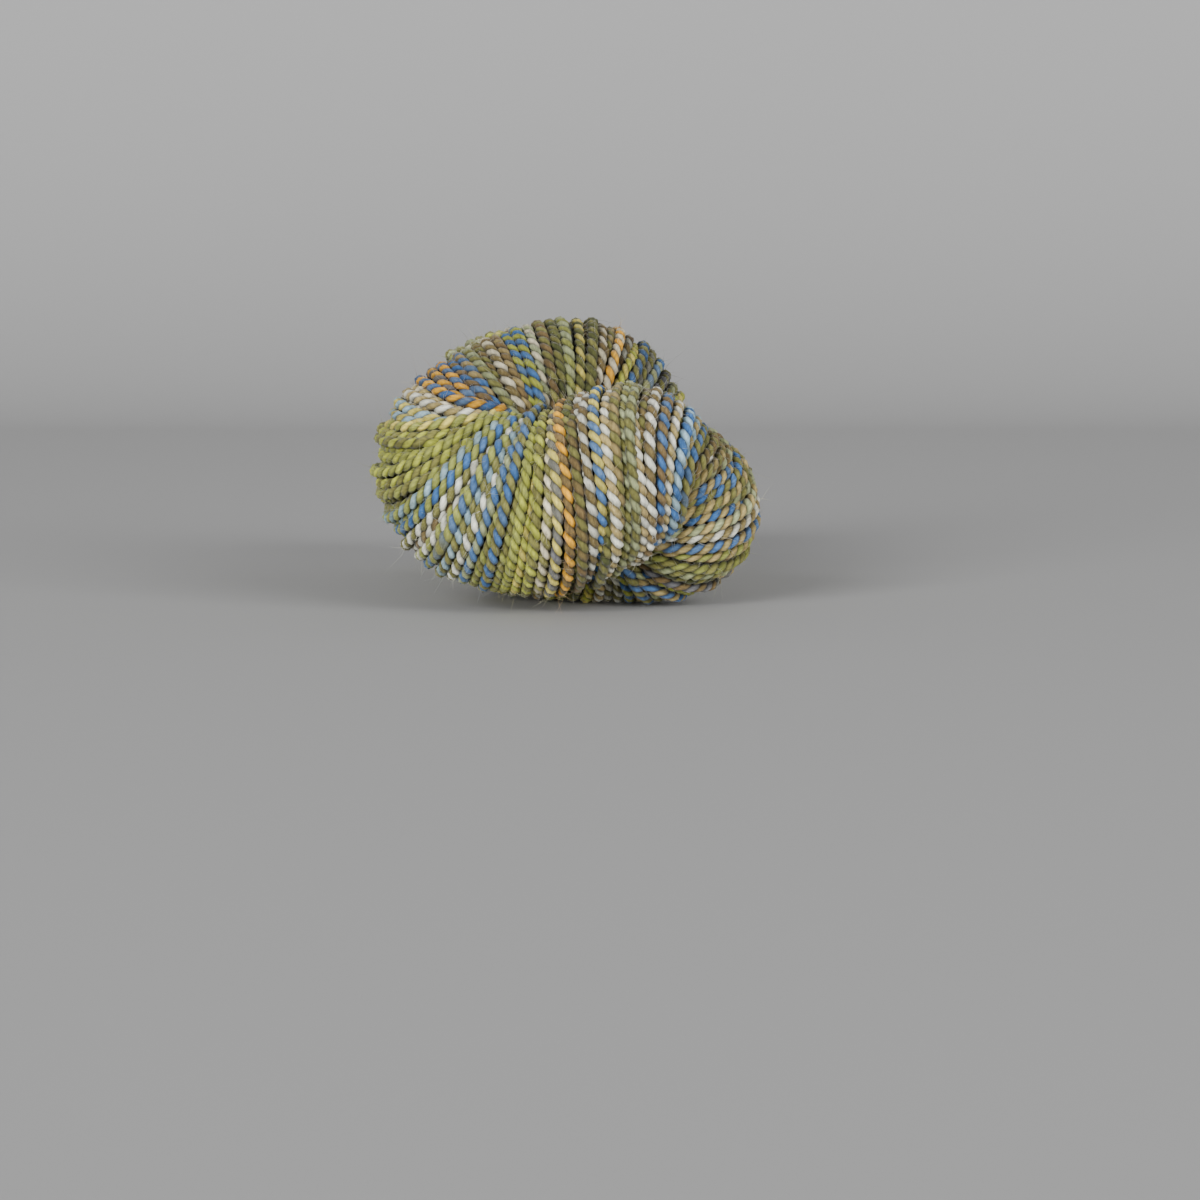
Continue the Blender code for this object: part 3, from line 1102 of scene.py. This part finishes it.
class Wire:
    """A value in a shader that takes part in plain arithmetic, each step adding its Math node."""

    def __init__(self, bench: "Bench", socket: Any) -> None:
        """Wraps a socket.

        Args:
            bench: The material's nodes.
            socket: The output that gives the value.
        """
        self.bench, self.socket = bench, socket

    __add__ = __radd__ = math_step("ADD")
    __mul__ = __rmul__ = math_step("MULTIPLY")
    __sub__, __rsub__ = math_step("SUBTRACT"), math_step("SUBTRACT", swapped=True)
    __truediv__, __pow__ = math_step("DIVIDE"), math_step("POWER")
    cos, sin, size = math_step("COSINE"), math_step("SINE"), math_step("ABSOLUTE")
    at_least, at_most = math_step("MAXIMUM"), math_step("MINIMUM")

    def held(self) -> "Wire":
        """The value held between 0 and 1."""
        return self.at_least(0.0).at_most(1.0)


@dataclass(frozen=True)
class Noise:
    """Smooth noise: its fineness, its number of finer layers, how strong these are, and its weight."""

    scale: float
    detail: float
    roughness: float
    weight: float = 1.0


class Bench:
    """The nodes of one material."""

    def __init__(self, name: str) -> None:
        """Starts a material with a Principled shader.

        Args:
            name: The material's name.
        """
        self.material = bpy.data.materials.new(name)
        self.material.use_nodes = True
        self.tree = self.material.node_tree
        self.tree.nodes.clear()
        self.shader = self.node("ShaderNodeBsdfPrincipled")
        self.node("ShaderNodeOutputMaterial", {}, {"Surface": self.shader.outputs[0]})

    def node(self, kind: str, settings: dict | None = None, sockets: dict | None = None) -> bpy.types.Node:
        """Adds a node.

        Args:
            kind: Blender's name of the node's type.
            settings: The node's own settings, set first.
            sockets: Values or links of its inputs, by name or number.

        Returns:
            The node.
        """
        made = self.tree.nodes.new(kind)
        for name, value in (settings or {}).items():
            setattr(made, name, value)
        for name, value in (sockets or {}).items():
            self.feed(made.inputs[name], value)
        return made

    def feed(self, socket: Any, value: Any) -> None:
        """Gives an input a value, or a link where the value is another node's."""
        if isinstance(value, Wire):
            self.tree.links.new(value.socket, socket)
        elif isinstance(value, bpy.types.NodeSocket):
            self.tree.links.new(value, socket)
        else:
            socket.default_value = value

    def value(self, name: str) -> Wire:
        """A number that the mesh holds."""
        return Wire(self, self.node("ShaderNodeAttribute", {"attribute_name": name}).outputs["Fac"])

    def colour(self, name: str) -> Any:
        """A colour that the mesh holds."""
        return self.node("ShaderNodeAttribute", {"attribute_name": name}).outputs["Color"]

    def mix(self, share: Any, low: Any, high: Any, blend: str = "MIX") -> Any:
        """A colour between two others.

        Args:
            share: How much of high.
            low: The colour at 0.
            high: The colour at 1, or the one that is blended on.
            blend: How they are combined.

        Returns:
            The output of the node.
        """
        settings = {"data_type": "RGBA", "blend_type": blend, "clamp_factor": True}
        mixed = self.node("ShaderNodeMix", settings, {0: share, 6: low, 7: high})
        return mixed.outputs[2]

    def vector(self, x: Any, y: Any, z: Any) -> Any:
        """A vector of three values."""
        return self.node("ShaderNodeCombineXYZ", {}, {"X": x, "Y": y, "Z": z}).outputs[0]

    def noise(self, place: Any, kind: Noise) -> Wire:
        """Noise from 0 to 1, read at a vector."""
        sockets = {"Vector": place, "Scale": kind.scale, "Detail": kind.detail, "Roughness": kind.roughness}
        return Wire(self, self.node("ShaderNodeTexNoise", {}, sockets).outputs["Fac"])

    def finished(self, inputs: dict[str, Any]) -> bpy.types.Material:
        """Feeds the shader's inputs.

        Args:
            inputs: Values or links, by the inputs' names.

        Returns:
            The material.
        """
        for name, value in inputs.items():
            self.feed(self.shader.inputs[name], value)
        return self.material


@dataclass(frozen=True)
class YarnFinish:
    """Matt wool of two plies, each with its own colour, flecked and streaked by its fibres, with painted
    shade in the grooves between the plies and on the sides that face into the hank.
    """

    name: str = "marled_wool"
    roughness: float = 0.86
    sheen: float = 0.22
    sheen_roughness: float = 0.45
    # groove_shade paints shade into the grooves between the plies; deep_shade is the painted shade on the
    # sides that face into the hank.
    groove_shade: float = 0.76
    deep_shade: float = 0.22
    fleck_share: float = 0.35
    fleck_from: float = 0.56
    fleck_edge: float = 5.0
    ply_edge: float = 5.0
    raggedness: float = 0.30
    felted_lobe: float = 0.5
    brightness: float = 1.08
    groove_power: float = 2.0
    fibre_bundle: tuple[float, float, float] = (1.3, 260.0, 31.0)
    heather_bundle: tuple[float, float, float] = (0.9, 420.0, 17.0)
    drift_along: float = 90.0
    drift_apart: float = 7.0
    streak: Noise = Noise(5.5, 3.0, 0.65, 0.9)
    coarse: Noise = Noise(1.6, 2.0, 0.5, 1.5)
    drift: Noise = Noise(1.0, 2.0, 0.5, 0.4)
    heather: Noise = Noise(1.3, 3.0, 0.6, 0.9)
    bump_parts: tuple[float, float, float] = (0.6, 0.4, 0.4)
    bump_depth: float = 0.00022
    bump_strength: float = 0.8
    specular: float = 0.25

    def material(self, yarn: YarnBuild) -> bpy.types.Material:
        """Makes the finish.

        Args:
            yarn: The yarn's sizes.

        Returns:
            The material.
        """
        bench = Bench(self.name)
        place = bench.node("ShaderNodeUVMap", {"uv_map": "strand"}).outputs[0]
        split = bench.node("ShaderNodeSeparateXYZ", {}, {0: place})
        along = Wire(bench, split.outputs[0])
        around = Wire(bench, split.outputs[1])
        mark, slub = bench.value("mark"), bench.value("slub")
        turn = (around - along / yarn.twist_length) * FULL_TURN
        places = [
            bench.vector(turn.cos() * width, turn.sin() * width, along * fineness + mark * apart)
            for width, fineness, apart in (self.fibre_bundle, self.heather_bundle)
        ]
        streak, coarse = (bench.noise(places[0], kind) for kind in (self.streak, self.coarse))
        drift_place = bench.vector(along * self.drift_along, mark * self.drift_apart, 0.0)
        drift, heather = bench.noise(drift_place, self.drift), bench.noise(places[1], self.heather)
        wave = (around * FULL_TURN).cos()
        lobe = (wave.size() + slub * self.felted_lobe).held()
        ragged = wave + (coarse - 0.5) * self.raggedness
        which = (ragged * self.ply_edge + 0.5).held()
        one, two = bench.colour("ply_a"), bench.colour("ply_b")
        fleck = ((streak - self.fleck_from) * self.fleck_edge).held() * self.fleck_share
        flecked = bench.mix(fleck, bench.mix(which, two, one), bench.mix(which, one, two))
        tone = self.brightness
        kinds = (self.streak, self.coarse, self.drift, self.heather)
        for value, kind in zip((streak, coarse, drift, heather), kinds):
            tone = tone + (value - 0.5) * kind.weight
        # Painted shade on the sides of each strand that face into the hank.
        tone = tone * (self.deep_shade + (1 - self.deep_shade) * bench.value("open"))
        # Painted shade in the groove between the two plies.
        shade = tone * (1.0 - (1.0 - lobe) ** self.groove_power * self.groove_shade)
        fine, rough, smooth = self.bump_parts
        bump = bench.node("ShaderNodeBump", {}, {
            "Strength": self.bump_strength, "Distance": self.bump_depth,
            "Height": streak * fine + coarse * rough + lobe * smooth,
        })
        return bench.finished({
            "Base Color": bench.mix(1.0, flecked, bench.vector(shade, shade, shade), "MULTIPLY"),
            "Normal": bump.outputs[0], "Roughness": self.roughness, "Sheen Weight": self.sheen,
            "Sheen Roughness": self.sheen_roughness, "Specular IOR Level": self.specular,
        })


@dataclass(frozen=True)
class FibreFinish:
    """The loose fibres, paler than the yarn that they come from."""

    name: str = "loose_fibre"
    roughness: float = 0.7
    sheen: float = 0.3

    def material(self) -> bpy.types.Material:
        """Makes the finish and returns its material."""
        bench = Bench(self.name)
        colour = bench.colour("fibre")
        return bench.finished(
            {"Base Color": colour, "Roughness": self.roughness, "Sheen Weight": self.sheen}
        )


@dataclass(frozen=True)
class CoreShadeFinish:
    """The strands packed deep in the hank, in a dark olive that paints the shade between the strands that
    show.
    """

    name: str = "packed_wool_painted_shade"
    low: tuple[float, float, float, float] = (0.035, 0.038, 0.018, 1.0)
    high: tuple[float, float, float, float] = (0.085, 0.088, 0.045, 1.0)
    patches: Noise = Noise(240.0, 3.0, 0.6)
    roughness: float = 0.95

    def material(self) -> bpy.types.Material:
        """Makes the finish and returns its material."""
        bench = Bench(self.name)
        place = bench.node("ShaderNodeTexCoord").outputs["Object"]
        colour = bench.mix(bench.noise(place, self.patches), self.low, self.high)
        return bench.finished({"Base Color": colour, "Roughness": self.roughness})


@dataclass(frozen=True)
class FloorFinish:
    """Plain pale matt paper."""

    name: str = "pale_paper"
    colour: tuple[float, float, float, float] = (0.49, 0.49, 0.49, 1.0)
    roughness: float = 0.9
    specular: float = 0.1

    def material(self) -> bpy.types.Material:
        """Makes the finish and returns its material."""
        return Bench(self.name).finished(
            {"Base Color": self.colour, "Roughness": self.roughness, "Specular IOR Level": self.specular}
        )


@dataclass(frozen=True)
class SoftLight:
    """A square area light that faces the hank."""

    name: str
    place: tuple[float, float, float]
    size: float
    power: float


@dataclass
class Studio:
    """The floor, the soft lights and the camera."""

    box: tuple[Any, Any]
    look_across: float
    floor_width: float = 8.0
    floor_front: float = -4.0
    floor_back: float = 1.1
    sweep_radius: float = 0.7
    sweep_steps: int = 24
    wall_height: float = 3.0
    camera_distance: float = 0.9
    camera_rise: float = 3.0
    look_past_front: float = 0.040
    look_height: float = 0.0285
    view_width: float = 0.288
    place_across: float = 577.0
    place_down: float = 489.0
    frame_pixels: float = 1200.0
    world_light: float = 0.31
    world_colour: tuple[float, float, float, float] = (0.57, 0.57, 0.57, 1.0)
    light_aim: tuple[float, float, float] = (0.0, 0.0, 0.03)
    sensor: float = 36.0
    lights: tuple[SoftLight, ...] = (
        SoftLight("key", (-2.2, -4.8, 1.35), 2.2, 320.0),
        SoftLight("fill", (3.0, -3.8, 1.2), 3.0, 200.0),
        SoftLight("top", (0.3, 0.3, 4.4), 3.0, 4.0),
    )

    def build(self) -> None:
        """Adds the floor, world, lights and camera."""
        self._floor()
        self._world()
        self._lights()
        self._camera()

    def _floor(self) -> None:
        """A plain floor that sweeps up behind the hank without a line."""
        turn = np.linspace(0.0, math.pi / 2, self.sweep_steps)
        profile = [(self.floor_front, 0.0)]
        profile += [
            (self.floor_back + self.sweep_radius * math.sin(t), self.sweep_radius * (1 - math.cos(t)))
            for t in turn
        ]
        profile.append((self.floor_back + self.sweep_radius, self.wall_height))
        half = self.floor_width / 2
        corners = [(x, y, z) for y, z in profile for x in (-half, half)]
        faces = [(2 * k, 2 * k + 1, 2 * k + 3, 2 * k + 2) for k in range(len(profile) - 1)]
        floor = mesh_object("floor", np.array(corners), [np.array(faces)])
        floor.data.materials.append(FloorFinish().material())

    def _world(self) -> None:
        """Even pale light from all round."""
        world = bpy.data.worlds.new("studio")
        world.use_nodes = True
        back = world.node_tree.nodes["Background"]
        back.inputs["Color"].default_value = self.world_colour
        back.inputs["Strength"].default_value = self.world_light
        bpy.context.scene.world = world

    def _lights(self) -> None:
        """Broad lights from the upper left and the right, and a weak one from above."""
        for lamp in self.lights:
            data = bpy.data.lights.new(lamp.name, "AREA")
            data.size, data.energy = lamp.size, lamp.power
            light = bpy.data.objects.new(lamp.name, data)
            light.location = lamp.place
            aim = Vector(self.light_aim) - Vector(lamp.place)
            light.rotation_euler = aim.to_track_quat("-Z", "Y").to_euler()
            bpy.context.scene.collection.objects.link(light)

    def _camera(self) -> None:
        """The camera, a little above the hank and looking along it at its front fold."""
        data = bpy.data.cameras.new("camera")
        data.sensor_width = self.sensor
        data.lens = self.sensor * self.camera_distance / self.view_width
        camera = bpy.data.objects.new("camera", data)
        target = Vector((self.look_across, self.box[0][1] + self.look_past_front, self.look_height))
        rise = math.radians(self.camera_rise)
        back = Vector((0.0, -math.cos(rise), math.sin(rise)))
        camera.location = target + back * self.camera_distance
        step = self.view_width / self.frame_pixels
        right, up = Vector((1.0, 0.0, 0.0)), Vector((0.0, math.sin(rise), math.cos(rise)))
        aim = target + right * (self.frame_pixels / 2 - self.place_across) * step
        aim = aim - up * (self.frame_pixels / 2 - self.place_down) * step
        camera.rotation_euler = (aim - camera.location).to_track_quat("-Z", "Y").to_euler()
        bpy.context.scene.collection.objects.link(camera)
        bpy.context.scene.camera = camera


def settle(piece: bpy.types.Object, material: bpy.types.Material, shift: Vector) -> None:
    """Gives a piece its finish, puts it in the frame and says what it is.

    Args:
        piece: The piece.
        material: Its finish.
        shift: Where the loop's own origin lies in the frame.
    """
    piece.data.transform(Matrix.Translation(shift))
    piece.data.materials.append(material)
    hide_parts(NODE)
    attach(piece, BODY)
    LOG.info("%s: %d faces", piece.name, len(piece.data.polygons))


def main() -> None:
    """Builds the hank and its studio, and reports each piece."""
    logging.basicConfig(level=logging.INFO, format="%(name)s: %(message)s")
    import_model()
    node_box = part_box(NODE)
    winding = Winding()
    shift = winding.shift_to(node_box)
    hank = Hank(winding)
    wool = YarnFinish().material(hank.yarn)
    for piece in hank.build():
        settle(piece, wool, shift)
    settle(Core(winding).build(), CoreShadeFinish().material(), shift)
    settle(StrayFibres(hank.surface).build(hank.yarn.radius), FibreFinish().material(), shift)
    Studio(node_box, shift.x).build()
    bpy.context.view_layer.update()


if __name__ == "__main__":
    main()
